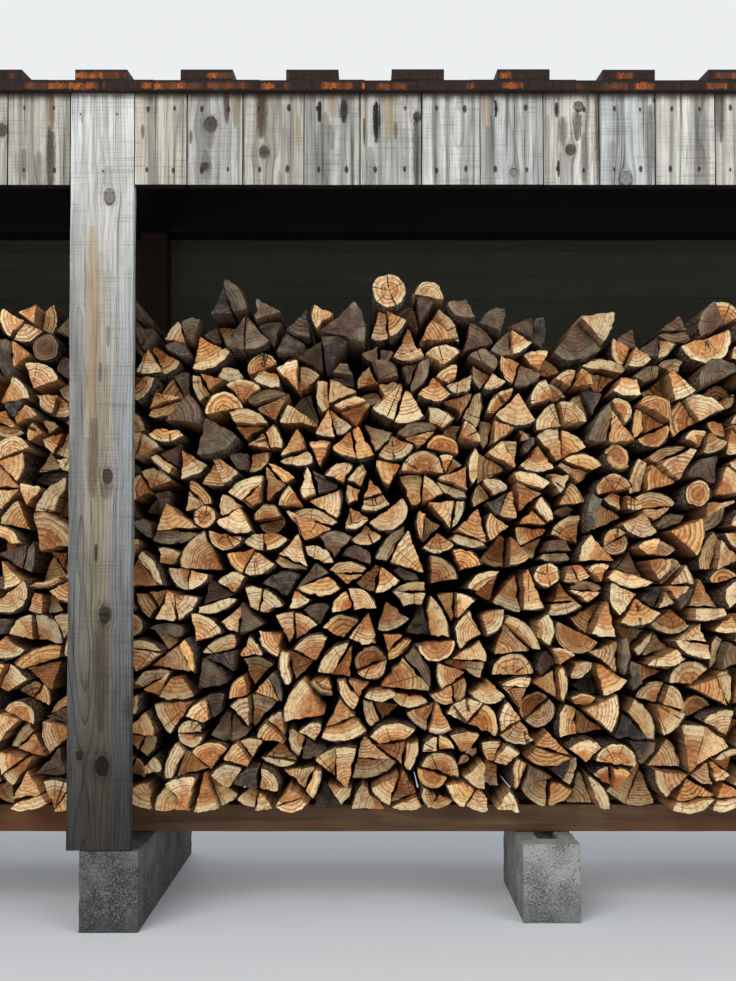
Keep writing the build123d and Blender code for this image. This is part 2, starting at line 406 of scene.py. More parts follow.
def grey_board():
    """Bare boards weathered silver grey, with a painted brown shadow along their tops under the roof's edge.
    """
    f = Finish("weathered_grey_boards", 0.86)
    light, shade, line = rgb(234, 233, 227), rgb(162, 160, 153), rgb(80, 74, 66)
    tone, height, band = weathered_face(f, 110.0, light, shade, line, 0.85, 0.86)
    # Painted shadow: a brown band, darkest at the very top, where the roof's edge shades the boards' tops.
    up = f.place()[2] + (band - 0.5) * 0.02
    tone = f.over(tone, rgb(80, 60, 48), up, post_top - 0.03, post_top - 0.012, 0.75)
    tone = f.over(tone, rgb(38, 29, 24), f.place()[2], post_top - 0.015, post_top - 0.006, 0.65)
    tint = f.attribute("tint")
    cast = f.mix(f.step(tint[2], 0.2, 0.8), (1.0, 0.975, 0.92, 1), (0.95, 0.975, 1.0, 1))
    tone = f.tinted(tone, cast)
    tone = f.dimmed(tone, f.spread(tint[0], 0.8, 1.04))
    towards_left = f.step(f.place()[0], 0.9, 0.3)
    tone = f.mix(towards_left, tone, f.tinted(tone, (0.84, 0.82, 0.77, 1)))
    return f.finish(tone, height, 0.6, 0.0012)


def post_plank():
    """The front posts' grey planks: silver at the top under a painted shadow from the roof's edge, dark and
    damp towards the foot.
    """
    f = Finish("weathered_grey_post", 0.82)
    light, shade, line = rgb(236, 235, 229), rgb(190, 188, 182), rgb(92, 86, 79)
    tone, height, band = weathered_face(f, 135.0, light, shade, line, 0.75, 0.66)
    up = f.place()[2] + (band - 0.5) * 0.3
    furrow = f.step(up, 1.5, 0.7) * f.step(height, 0.25, -0.15)
    tone = f.mix(furrow * 0.55, tone, f.tinted(tone, (0.5, 0.5, 0.5, 1)))
    wet = f.mix(f.step(up, post_foot, 1.25), f.grey(0.068), f.grey(0.545))
    wet = f.mix(f.step(up, 1.2, post_top - 0.05), wet, f.grey(1.0))
    tone = f.tinted(tone, wet)
    low_down = f.step(up, post_top - 0.1, 1.1)
    from_middle = abs(f.attribute("grain")[0] + 0.008)
    across = from_middle + (band - 0.5) * 0.05
    warm, cool = f.tinted(tone, (1.04, 0.9, 0.7, 1)), f.tinted(tone, (0.9, 0.93, 0.96, 1))
    tone = f.mix(low_down * f.step(across, 0.052, 0.016), tone, warm)
    tone = f.mix(low_down * f.step(across, 0.04, 0.066), tone, cool)
    # Painted shadow: a brown band along the plank's top where the roof's edge shades it.
    up = f.place()[2] + (band - 0.5) * 0.02
    tone = f.over(tone, rgb(92, 76, 66), up, post_top - 0.024, post_top - 0.008, 0.7)
    return f.finish(tone, height, 0.55, 0.0012)


def damp_and_shaded_board_ends():
    """The fascia boards' lower ends, dark with damp and painted near black for the shade beneath them."""
    f = Finish("damp_and_shaded_board_ends", 0.9)
    grit = f.noise(f.place(), 260.0, 2.0)
    # Near black: damp end grain with painted shade on the downward-facing ends.
    return f.finish(f.mix(grit, rgb(18, 16, 15), rgb(34, 31, 28)), grit, 0.5, 0.001)


def stained_timber(name, base, worn, dark, wear=0.5, roughness=0.7, red=None):
    """Stained timber whose stain has worn along the grain."""
    f = Finish(name, roughness)
    tint = f.attribute("tint")
    moved, late, fibre, streak, knot = sawn_grain(f, tint)
    patch = f.grained(moved, 14.0, 2.4, 4.0, 0.65)
    tone = f.over(base, worn, patch, 0.62 - 0.25 * wear, 0.74, 0.9)
    tone = f.over(tone, dark, streak, 0.5, 0.8, 0.6)
    tone = f.mix(late * 0.25, tone, dark)
    if red:
        reddish = f.grained(moved, 4.0, 1.4, 3.0)
        tone = f.over(tone, red, reddish, 0.48, 0.6, 0.75)
    tone = f.mix(knot * 0.7, tone, dark)
    tone = f.dimmed(tone, f.spread(tint[0], 0.82, 1.1))
    return f.finish(tone, late * -0.4 + fibre, 0.4, 0.001)


def roof_board_ends(name, foot, bare_share):
    """Sawn ends of a layer of roof boards: dark stain, with bare orange wood low down where it has gone."""
    f = Finish(name, 0.78)
    place = f.place()
    moved = f.vector("ADD", f.stretch(place, 1.0, 0.0, 0.0), f.scale(f.attribute("tint"), 9.0))
    patch = f.noise(f.stretch(moved, 13.0, 1.0, 1.0), detail=2.0)
    worn = f.noise(f.vector("ADD", f.stretch(moved, 30.0, 1.0, 1.0), (5.0, 0.0, 0.0)), detail=2.0)
    rays = f.noise(f.stretch(place, 380.0, 0.0, 90.0), detail=3.0, distortion=0.8)
    cloud = f.noise(f.stretch(place, 90.0, 0.0, 90.0), detail=3.0)
    level = (place[2] - foot) / ROOF_BOARD_DEPTH + (cloud - 0.5) * 0.7
    tone = f.over(rgb(27, 21, 18), rgb(66, 40, 26), rays, 0.35, 0.7)
    bare = f.over(rgb(192, 102, 42), rgb(108, 56, 29), rays, 0.4, 0.62)
    bare = f.over(rgb(86, 54, 34), bare, worn, 0.4, 0.62)
    bare_here = f.step(patch, 0.68 - 0.3 * bare_share, 0.78 - 0.3 * bare_share)
    bare_here *= f.step(level, 0.85, 0.6) * f.step(level, 0.08, 0.2)
    tone = f.mix(bare_here * 0.95, tone, bare)
    tone = f.over(tone, rgb(34, 31, 31), level, 0.62, 0.88)
    tone = f.over(tone, rgb(30, 26, 24), level, 0.16, 0.02)
    return f.finish(tone, rays, 0.6, 0.001)


def concrete(name, lightness):
    """Rough cast block, pitted and a little damp at the foot."""
    f = Finish(name, 0.92)
    place = f.place()
    cloud = f.noise(place, 9.0, 4.0, 0.6)
    grit = f.noise(place, 260.0, 3.0, 0.7)
    pits = f.cells(f.stretch(place, 190.0, 190.0, 190.0), feature="F1")
    pit = f.step(pits, 0.36, 0.18) * f.step(f.noise(place, 60.0, 2.0), 0.45, 0.6)
    tone = f.over(rgb(162, 163, 158), rgb(88, 88, 84), cloud, 0.35, 0.7)
    tone = f.over(tone, rgb(190, 191, 186), grit, 0.45, 0.7)
    tone = f.over(tone, rgb(70, 70, 66), grit, 0.42, 0.3, 0.7)
    tone = f.mix(pit * 0.8, tone, rgb(52, 52, 48))
    tone = f.over(tone, rgb(86, 86, 78), place[2] + (cloud - 0.5) * 0.12, 0.09, 0.0, 0.5)
    tone = f.dimmed(tone, lightness)
    return f.finish(tone, grit * 0.5 - pit * 1.2, 0.8, 0.0025)


def iron():
    """Nail and screw heads gone dull."""
    f = Finish("dull_iron", 0.55)
    rust = f.noise(f.place(), 500.0, 2.0)
    tone = f.over(rgb(70, 68, 66), rgb(78, 52, 36), rust, 0.45, 0.65)
    f.shader.inputs["Metallic"].default_value = 0.6
    return f.finish(tone)


def log_facts(f):
    """What every log's surface needs: place from the pith, and the log's own tones."""
    from_pith, tone, make = f.attribute("from_pith"), f.attribute("log_tone"), f.attribute("log_make")
    return from_pith, f.vector("ADD", from_pith, f.scale(tone, 11.0)), tone, make


def log_ends():
    """Sawn ends: uneven rings from heart to sapwood, saw lines, a few radial cracks and a rim of bark."""
    f = Finish("sawn_log_ends", 0.82)
    from_pith, moved, tone, make = log_facts(f)
    warmth, greyness, light = (tone[i] for i in range(3))
    reach, heart_share, ring_rate = (make[i] for i in range(3))
    ring_luck, saw_luck, crack_luck = (f.math("FRACT", light * k) for k in (37.7, 91.3, 153.1))
    straight = f.length(f.stretch(from_pith, 1.0, 0.0, 1.0))
    turn = f.math("ARCTAN2", from_pith[2], from_pith[0])
    away = straight + (f.noise(moved, 24.0, 3.0) - 0.5) * 0.02
    share = away / reach

    uneven = f.noise(f.join(straight * 60.0, light * 80.0, 0.0), 1.0, 1.0)
    counted = (away + uneven * 0.012) * ring_rate
    ring_number = f.math("FLOOR", counted) + light * 57.0
    ring_depth = f.add("ShaderNodeTexWhiteNoise", {"W": ring_number}, noise_dimensions="1D")
    ring = f.step(f.math("FRACT", counted), 0.2, 0.9) * f.spread(ring_depth, 0.45, 1.0)
    cloud = f.noise(moved, 32.0, 3.0, 0.65)
    torn = f.noise(moved, 95.0, 3.0, 0.65)
    speck = f.noise(moved, 520.0, 2.0, 0.6)
    rays = f.noise(f.join(turn * 60.0, away * 60.0, light * 30.0), 1.0, 2.0, 0.6)

    outer = f.mix(warmth, rgb(255, 234, 186), rgb(252, 196, 124))
    inner = f.mix(warmth, rgb(253, 213, 154), rgb(230, 156, 94))
    heart = f.mix(warmth, rgb(214, 146, 80), rgb(158, 90, 44))
    wood = f.over(inner, outer, share, 0.15, 0.85)
    in_heart = f.step(share, heart_share + 0.08, heart_share - 0.14)
    wood = f.mix(in_heart * f.spread(cloud, 0.5, 1.1), wood, heart)
    ring_tone = f.mix(warmth, rgb(176, 102, 50), rgb(108, 48, 23))
    wood = f.mix(ring * f.step(ring_luck, -0.6, 0.75), wood, ring_tone)
    pale_rim = f.step(share, 0.78, 0.84) * f.step(crack_luck, 0.3, 0.35)
    wood = f.mix(pale_rim * 0.65, wood, rgb(255, 230, 178))
    wood = f.over(wood, rgb(150, 86, 46), cloud, 0.5, 0.66, 0.45)
    resin = f.noise(f.vector("ADD", moved, (3.0, 0.0, 7.0)), 52.0, 3.0, 0.6)
    wood = f.over(wood, rgb(198, 114, 50), resin, 0.5, 0.62, f.step(share, 1.0, 0.5) * 0.5)
    wood = f.over(wood, rgb(132, 78, 42), torn, 0.54, 0.68, 0.6)
    wood = f.over(wood, outer, torn, 0.46, 0.3, 0.5)
    wood = f.over(wood, rgb(112, 68, 38), speck, 0.5, 0.75, 0.3)
    wood = f.over(wood, rgb(108, 68, 40), rays, 0.5, 0.75, 0.2)

    saw_turn = saw_luck * 3.14
    saw_across = from_pith[0] * f.math("COSINE", saw_turn) + from_pith[2] * f.math("SINE", saw_turn)
    saw_lines = f.noise(f.join(saw_across * 300.0, light * 50.0, straight * 9.0), 1.0, 1.0)
    wood = f.over(wood, rgb(104, 66, 38), saw_lines, 0.5, 0.75, 0.2)

    # The grey of old wood, kept dark: on the top rows it also paints in the shade under the roof.
    old = f.over(rgb(72, 67, 63), rgb(38, 38, 40), cloud, 0.35, 0.65)
    old = f.mix(ring * 0.6, old, rgb(34, 31, 31))
    old = f.over(old, rgb(120, 112, 102), torn, 0.5, 0.7, 0.3)
    wood = f.mix(greyness * f.spread(f.step(cloud, 0.3, 0.6), 0.88, 1.0), wood, old)

    sectors = f.join(turn * 0.9, light * 43.0, 0.0)
    split = f.cells(sectors, feature="DISTANCE_TO_EDGE", voronoi_dimensions="2D")
    opened = f.noise(f.join(away * 30.0, light * 60.0, turn * 1.5), 1.0, 2.0)
    crack = f.step(split * away, 0.0008, 0.0003) * f.step(opened, 0.42, 0.5)
    crack *= f.step(crack_luck, 0.52, 0.56) * f.step(share, 0.06, 0.2)
    wood = f.mix(crack * 0.9, wood, rgb(34, 22, 15))

    ragged = away + f.noise(moved, 170.0, 2.0) * 0.004
    rim = f.step(reach - ragged, 0.004, 0.0024)
    wood = f.mix(rim, wood, f.over(rgb(58, 42, 32), rgb(92, 72, 56), speck, 0.4, 0.6))
    wood = f.dimmed(wood, f.spread(light, 0.82, 1.16))
    height = ring * 0.35 + speck * 0.3 + (saw_lines * 0.3 + torn * 1.2 - crack * 2.0)
    return f.finish(wood, height, 0.8, 0.003)


def log_sides():
    """Split faces: long fibres, ridges and the grey of seasoning."""
    f = Finish("split_log_faces", 0.88)
    _, moved, tone, _ = log_facts(f)
    warmth, greyness, light = (tone[i] for i in range(3))
    fibre = f.noise(f.stretch(moved, 190.0, 6.0, 190.0), 1.0, 4.0, 0.65)
    ridge = f.noise(f.stretch(moved, 45.0, 1.8, 45.0), 1.0, 2.0)
    wood = f.mix(warmth, rgb(186, 144, 96), rgb(150, 98, 58))
    wood = f.over(wood, rgb(108, 74, 46), fibre, 0.35, 0.7)
    wood = f.over(wood, rgb(84, 68, 54), ridge, 0.45, 0.7, 0.6)
    wood = f.mix(greyness * 0.85, wood, rgb(62, 58, 55))
    wood = f.dimmed(wood, f.spread(light, 0.95, 1.35))
    return f.finish(wood, fibre + ridge, 0.8, 0.002)


def log_bark():
    """Bark: furrowed plates, brown to grey."""
    f = Finish("log_bark", 0.9)
    _, moved, tone, _ = log_facts(f)
    plates = f.cells(f.stretch(moved, 85.0, 32.0, 85.0), feature="DISTANCE_TO_EDGE")
    rough = f.noise(f.stretch(moved, 130.0, 60.0, 130.0), 1.0, 4.0, 0.7)
    bark = f.mix(tone[0], rgb(108, 86, 68), rgb(84, 69, 58))
    bark = f.over(bark, rgb(126, 108, 90), rough, 0.4, 0.7)
    bark = f.over(bark, rgb(30, 24, 21), plates, 0.12, 0.0)
    return f.finish(bark, f.step(plates, 0.0, 0.3) + rough * 0.5, 0.9, 0.003)


# Modelling


def new_piece(name, shape, finishes, slot, *nodes):
    """A finished piece that stands for CAD nodes."""
    mesh = bpy.data.meshes.new(name)
    shape.to_mesh(mesh)
    shape.free()
    piece = bpy.data.objects.new(name, mesh)
    bpy.context.scene.collection.objects.link(piece)
    for finish in finishes:
        mesh.materials.append(finish)
    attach(piece, "root")
    if nodes:
        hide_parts(*nodes)
    return piece


def solid_copy(node):
    """A CAD node's solids with their flat faces whole."""
    shape = bmesh.new()
    shape.from_mesh(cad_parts[node].data)
    bmesh.ops.remove_doubles(shape, verts=shape.verts, dist=1e-5)
    bmesh.ops.dissolve_limit(shape, angle_limit=0.01, verts=shape.verts, edges=shape.edges)
    return shape


def separate_solids(shape):
    """Lists of the vertices of each closed solid, in the order that the shape holds them."""
    reached = set()
    groups = []
    for first in shape.verts:
        if first in reached:
            continue
        group, waiting = [], [first]
        reached.add(first)
        while waiting:
            vert = waiting.pop()
            group.append(vert)
            for link in vert.link_edges:
                other = link.other_vert(vert)
                if other not in reached:
                    reached.add(other)
                    waiting.append(other)
        groups.append(group)
    return groups


def corner_box(verts):
    low = Vector(min(v.co[i] for v in verts) for i in range(3))
    high = Vector(max(v.co[i] for v in verts) for i in range(3))
    return low, high


def soften(shape, edges, width):
    """Edges rounded over."""
    settings = {"segments": 2, "profile": 0.5, "affect": "EDGES", "clamp_overlap": True, "material": -1}
    bmesh.ops.bevel(shape, geom=edges, offset=width, **settings)


def mark_grain(shape, rng, axes=None):
    """Gives each board its own coordinates, with the grain along the last, and its own tone."""
    grain = shape.verts.layers.float_vector.new("grain")
    tint = shape.verts.layers.float_vector.new("tint")
    for group in separate_solids(shape):
        low, high = corner_box(group)
        size = high - low
        thin, across, along = sorted(range(3), key=lambda i: size[i])
        if axes:
            across, thin, along = axes
        middle = (low + high) / 2
        tone = Vector((rng.random(), rng.random(), rng.random()))
        for vert in group:
            local = vert.co - middle
            vert[grain] = Vector((local[across], local[thin], local[along]))
            vert[tint] = tone


def chance_spots(rng, low, high):
    """Knots and stains drawn at random for a stretch of boards that the photograph doesn't show."""
    knots, stains = [], []
    area = (high.x - low.x) * (high.z - low.z)
    for _ in range(round(area * KNOTS_PER_AREA)):
        place = (rng.uniform(low.x, high.x), rng.uniform(low.z, high.z))
        knots.append((*place, rng.uniform(0.006, 0.014), rng.uniform(0.4, 1)))
    for _ in range(round(area * STAINS_PER_AREA)):
        x, top = rng.uniform(low.x, high.x), high.z - abs(rng.gauss(0, 0.06))
        hue, strength = rng.choice((0.1, 0.5, 0.6, 0.95)), rng.uniform(0.4, 0.85)
        stains.append((x, top, top - rng.uniform(0.05, 0.14), rng.uniform(0.004, 0.012), hue, strength))
    return knots, stains


def placed_spots(knots, stains):
    """Knots and stains given in the photograph's pixels, as places and sizes on the front."""
    knots = [(*on_front(column, row), radius * PIXEL_SIZE, dark) for column, row, radius, dark in knots]
    placed = []
    for column, top_row, foot_row, half_width, hue, strength in stains:
        x, top = on_front(column, top_row)
        placed.append((x, top, on_front(column, foot_row)[1], half_width * PIXEL_SIZE, hue, strength))
    return knots, placed


def stain_place(stain, x, z):
    """How far out across a stain, and how far down it, from 0 to 1 inside."""
    return (x - stain[0]) / stain[3], (stain[1] - z) / (stain[1] - stain[2])


def mark_spots(shape, spots):
    """Tells each part of a board's front which of its knots, stains and nails is nearest, and how near."""
    knots, stains, nails = spots
    names = ("knot", "stain", "stain_tone", "nail")
    layers = {name: shape.loops.layers.float_vector.new(name) for name in names}
    for group in separate_solids(shape):
        low, high = corner_box(group)
        own = [[spot for spot in kind if low.x < spot[0] < high.x] for kind in (knots, stains, nails)]
        for face in {face for vert in group for face in vert.link_faces}:
            middle = face.calc_center_median()
            knot, stain, nail = None, None, None
            if face.normal.y < -0.5:
                knot = min(own[0], key=lambda k: math.dist(k[:2], (middle.x, middle.z)) / k[2], default=None)
                nail = min(own[2], key=lambda n: math.dist(n[:2], (middle.x, middle.z)), default=None)
                near = [(stain_place(s, middle.x, middle.z), s) for s in own[1]]
                near = [(max(abs(u), abs(2 * v - 1)), s) for (u, v), s in near]
                near = [pair for pair in near if pair[0] < STAIN_REACH]
                stain = min(near, key=lambda pair: pair[0])[1] if near else None
            for loop in face.loops:
                x, z = loop.vert.co.x, loop.vert.co.z
                loop[layers["knot"]] = (x - knot[0], z - knot[1], knot[2]) if knot else NONE_NEAR
                loop[layers["nail"]] = (x - nail[0], z - nail[1], nail[2]) if nail else NONE_NEAR
                loop[layers["stain"]] = (*stain_place(stain, x, z), 0) if stain else (9, 9, 0)
                hue, strength = stain[4:] if stain else (0, 0)
                loop[layers["stain_tone"]] = (hue, strength, knot[3] if knot else 0)


def worn_timber(
    name, node, finishes, slot, chamfer=0.0022, waver=0.0007, step=0.09, cuts=30,
    adjust=None, end_axes=(), grain_axes=None, spots=None,
):
    """A CAD timber or board with softened, slightly wavering edges. Its end axes face its sawn ends."""
    rng = random.Random(name)
    shape = solid_copy(node)
    if adjust:
        adjust(shape, rng)
    soften(shape, shape.edges[:], chamfer)
    for axis in range(3):
        long_edges = []
        for edge in shape.edges:
            run = edge.verts[1].co - edge.verts[0].co
            if abs(run[axis]) > step and abs(run[axis]) > 0.95 * run.length:
                long_edges.append(edge)
        if long_edges:
            longest = max(e.calc_length() for e in long_edges)
            bmesh.ops.subdivide_edges(
                shape, edges=long_edges, cuts=min(cuts, int(longest / step)), use_grid_fill=True
            )
    shape.normal_update()
    if spots:
        mark_spots(shape, spots)
    seed = Vector((rng.uniform(0, 50), rng.uniform(0, 50), rng.uniform(0, 50)))
    for vert in shape.verts:
        drift = noise.noise(vert.co * 9 + seed) + 0.6 * noise.noise(vert.co * 37 + seed)
        vert.co -= vert.normal * waver * min(2, max(0, 1 + drift))
    mark_grain(shape, rng, grain_axes)
    for face in shape.faces:
        face.smooth = False
        if any(abs(face.normal[axis]) > 0.9 for axis in end_axes):
            face.material_index = 1
    return new_piece(name, shape, finishes, slot, node)


def fascia_joints(bay):
    """Where a bay's upright boards meet, with its two ends: as in the photograph, or else nearly even."""
    shape = solid_copy(f"fascia_boards_{bay}")
    boxes = sorted((corner_box(group) for group in separate_solids(shape)), key=lambda box: box[0].x)
    shape.free()
    rng = random.Random(bay)
    seen = [on_front(column, NAIL_ROWS[0])[0] for column in FASCIA_JOINT_COLUMNS]
    joints = [boxes[0][0].x]
    for (_, left_high), (right_low, _) in zip(boxes, boxes[1:]):
        x = (left_high.x + right_low.x) / 2
        nearest = min(seen, key=lambda joint: abs(joint - x))
        joints.append(nearest if abs(nearest - x) < 0.03 else x + rng.uniform(-0.006, 0.006))
    return joints + [boxes[-1][1].x]


def fascia_nails(bay):
    """Two nails in each board at each row, with how far each has stained the wood."""
    rng = random.Random(f"nails {bay}")
    joints = fascia_joints(bay)
    nails = []
    for left, right in zip(joints, joints[1:]):
        for row in NAIL_ROWS:
            for side in (-1, 1):
                x = (left + right) / 2 + side * 0.24 * (right - left) + rng.uniform(-0.003, 0.003)
                z = on_front(MIDDLE_COLUMN, row + rng.uniform(-1, 1))[1]
                nails.append((x, z, rng.uniform(0.003, 0.0056)))
    return nails


def uneven_fascia(shape, rng):
    """Boards moved to their own joints, with thin gaps, and cut to slightly different lengths."""
    groups = sorted(separate_solids(shape), key=lambda g: corner_box(g)[0].x)
    joints = fascia_joints("left" if corner_box(shape.verts)[0].x < -1 else "right")
    for group, left_joint, right_joint in zip(groups, joints, joints[1:]):
        low, high = corner_box(group)
        gap = rng.uniform(0.0004, 0.0012)
        lift = rng.uniform(0, 0.001)
        for vert in group:
            left = vert.co.x < (low.x + high.x) / 2
            vert.co.x = left_joint + gap if left else right_joint - gap
            if vert.co.z < low.z + 0.01:
                vert.co.z += lift


def close_joints(shape, axis):
    """Boards that lie side by side brought into touch, so that no light comes through."""
    groups = sorted(separate_solids(shape), key=lambda g: corner_box(g)[0][axis])
    for before, group in zip(groups, groups[1:]):
        end, (low, high) = corner_box(before)[1][axis], corner_box(group)
        if low[axis] - end < 0.002:
            for vert in group:
                if vert.co[axis] < (low[axis] + high[axis]) / 2:
                    vert.co[axis] = end


def uneven_roof(shape, rng):
    """Close roof boards cut to slightly different lengths at the front and back."""
    close_joints(shape, 0)
    for group in separate_solids(shape):
        front, back = rng.uniform(0, 0.004), rng.uniform(0, 0.006)
        for vert in group:
            vert.co.y += front if vert.co.y < 0 else -back


def close_cladding(shape, rng):
    """Level boards with closed joints."""
    close_joints(shape, 2)


def blocks():
    """Hollow blocks with rough faces and crumbled edges, the ones under the posts damp."""
    damp, dry = concrete("damp_block_concrete", 0.4), concrete("dry_block_concrete", 0.95)
    cell, roughness, crumbled, edge_width = 0.0085, 0.0013, 0.0035, 0.007
    for node in [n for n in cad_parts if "_block_" in n]:
        shape = solid_copy(node)
        sharp = [e for e in shape.edges if len(e.link_faces) == 2 and e.calc_face_angle(0) > 1]
        soften(shape, sharp, 0.003)
        low, high = corner_box(shape.verts)
        for axis in range(3):
            normal = Vector((axis == 0, axis == 1, axis == 2))
            count = round((high[axis] - low[axis]) / cell)
            for i in range(1, count):
                point = low + (high - low) * (i / count)
                geom = shape.verts[:] + shape.edges[:] + shape.faces[:]
                bmesh.ops.bisect_plane(shape, geom=geom, dist=1e-6, plane_co=point, plane_no=normal)
        shape.normal_update()
        for vert in shape.verts:
            rough = 0.5 + 0.5 * noise.noise(vert.co * 42) + 0.45 * noise.noise(vert.co * 130)
            in_from = [min(abs(vert.co[i] - low[i]), abs(vert.co[i] - high[i])) for i in range(3)]
            at_edge = sum(reach < edge_width for reach in in_from) > 1
            crumble = crumbled * max(0, noise.noise(vert.co * 55 + Vector((9, 9, 9)))) if at_edge else 0
            if vert.co.z > low.z + 0.002:
                vert.co -= vert.normal * (roughness * max(0, rough) + crumble)
        finish = dry if node.startswith("bay") else damp
        new_piece(node.replace("block", "concrete_block"), shape, [finish], "concrete", node)


def head(shape, x, y, z, radius):
    """A nail or screw head, domed and facing the front."""
    turn = Matrix.Translation((x, y, z)) @ Matrix.Rotation(math.pi / 2, 4, "X")
    bmesh.ops.create_cone(
        shape, cap_ends=True, segments=10, radius1=radius, radius2=radius * 0.72, depth=0.0016, matrix=turn
    )


def fastenings(finish):
    """Two rows of nails through the fascia, and screws in the front posts."""
    shape = bmesh.new()
    for bay in ("left", "right"):
        for x, z, _ in fascia_nails(bay):
            head(shape, x, front_y + HEAD_STANDS, z, NAIL_HEAD)
    middle_post = sum(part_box("front_post_middle")[i].x for i in (0, 1)) / 2
    for post in ("left", "middle", "right"):
        shift = sum(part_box(f"front_post_{post}")[i].x for i in (0, 1)) / 2 - middle_post
        for column, row in SCREWS:
            x, z = on_front(column, row)
            head(shape, x + shift, front_y + HEAD_STANDS, z, SCREW_HEAD)
    for face in shape.faces:
        face.smooth = False
    new_piece("nail_and_screw_heads", shape, [finish], "dark_timber")


# Firewood

LOG_LAYERS = ("from_pith", "log_tone", "log_make")
EDGE_PIECE = 0.011  # how long the pieces are that a log's outline is divided into
BARK_FROM = 0.82  # a side is bark when it lies beyond this share of the way from the pith
DRAWN_IN = 0.975  # how far the front end's edge is drawn in
CHIP_SIZE = 0.013  # how far round a chipped corner the wood is gone
CHIP_SLOPE = 0.016  # how far round it the sawn end falls away
LEAST_STICK = 0.0004  # square metres


def log_outlines(node):
    """Each log's outline in the CAD node, seen from the front, with its front and back."""
    shape = solid_copy(node)
    found = []
    for group in separate_solids(shape):
        faces = {face for vert in group for face in vert.link_faces}
        front = min(faces, key=lambda face: face.calc_center_median().y)
        low, high = corner_box(group)
        found.append(([Vector((v.co.x, 0, v.co.z)) for v in front.verts], low.y, high.y))
    shape.free()
    return found


def middle_of(outline):
    return sum(outline, Vector()) / len(outline)


def area_of(outline):
    pairs = zip(outline, outline[1:] + outline[:1])
    return abs(sum(a.x * b.z - b.x * a.z for a, b in pairs)) / 2


def pith_of(outline):
    """Where the tree's middle lay: the point that most of the corners lie evenly round, as its bark did."""
    sides = list(zip(outline, outline[1:] + outline[:1]))
    longest = max(sides, key=lambda side: (side[1] - side[0]).length)
    middle = middle_of(outline)
    guesses = outline + [(longest[0] + longest[1]) / 2, middle]
    for before, after in zip(sides, sides[2:] + sides[:2]):
        crossing = intersect_line_line(*before, *after)
        if crossing and (crossing[0] - middle).length < 0.12:
            guesses.append(crossing[0])

    def corners_at_bark(guess):
        reaches = [(corner - guess).length for corner in outline]
        return sum(reach > 0.97 * max(reaches) for reach in reaches)

    return max(guesses, key=corners_at_bark)


def extent(outline, way):
    """How far an outline reaches along a direction."""
    reaches = [corner.dot(way) for corner in outline]
    return max(reaches) - min(reaches)


def split_again(outline, pith, rng):
    """Two sticks from one: a wide one split out from the pith, a deep one across."""
    middle = middle_of(outline)
    out = middle - pith
    if out.length < 0.004:
        out = Vector((rng.uniform(-1, 1), 0, rng.uniform(0.2, 1)))
    out.normalize()
    side = Vector((-out.z, 0, out.x))
    depth = extent(outline, out)
    if extent(outline, side) > depth * rng.uniform(0.95, 1.8):
        point = middle + side * rng.uniform(-0.006, 0.006)
        normal = side + out * rng.uniform(-0.35, 0.35)
    else:
        point = middle + out * depth * rng.uniform(-0.14, 0.08)
        normal = out + side * rng.uniform(-0.35, 0.35)
    shape = bmesh.new()
    shape.faces.new([shape.verts.new(corner) for corner in outline])
    parts = []
    for facing in (1, -1):
        part = shape.copy()
        geom = part.verts[:] + part.edges[:] + part.faces[:]
        bmesh.ops.bisect_plane(
            part, geom=geom, dist=1e-6, plane_co=point, plane_no=normal * facing, clear_outer=True
        )
        parts += [[v.co.copy() for v in face.verts] for face in part.faces]
        part.free()
    shape.free()
    return [part for part in parts if area_of(part) > LEAST_STICK]


def log_character(place, reach, rng):
    """A log's own tones and rings: grey and old in patches, and more often dark grey towards the top of the
    stack, which paints in the shade under the roof.
    """
    high_up = (place.z - sill_top) / (stack_top - sill_top)
    cluster = noise.noise(place * 3.1)
    # Painted shade: logs near the top of the stack are more often dark grey, standing for the shade under
    # the roof as well as for old wood.
    grey_chance = 0.09 + 0.36 * max(0, cluster) + 0.52 * min(1, max(0, high_up - 0.8) / 0.12)
    greyness = rng.uniform(0.75, 1) if rng.random() < grey_chance else max(0, rng.gauss(0.02, 0.1))
    warmth = min(1, max(0, rng.gauss(0.5, 0.38)))
    heart = rng.uniform(0.45, 0.8) if rng.random() < 0.6 else 0.0
    return Vector((warmth, greyness, rng.random())), Vector((reach, heart, rng.uniform(75, 150)))


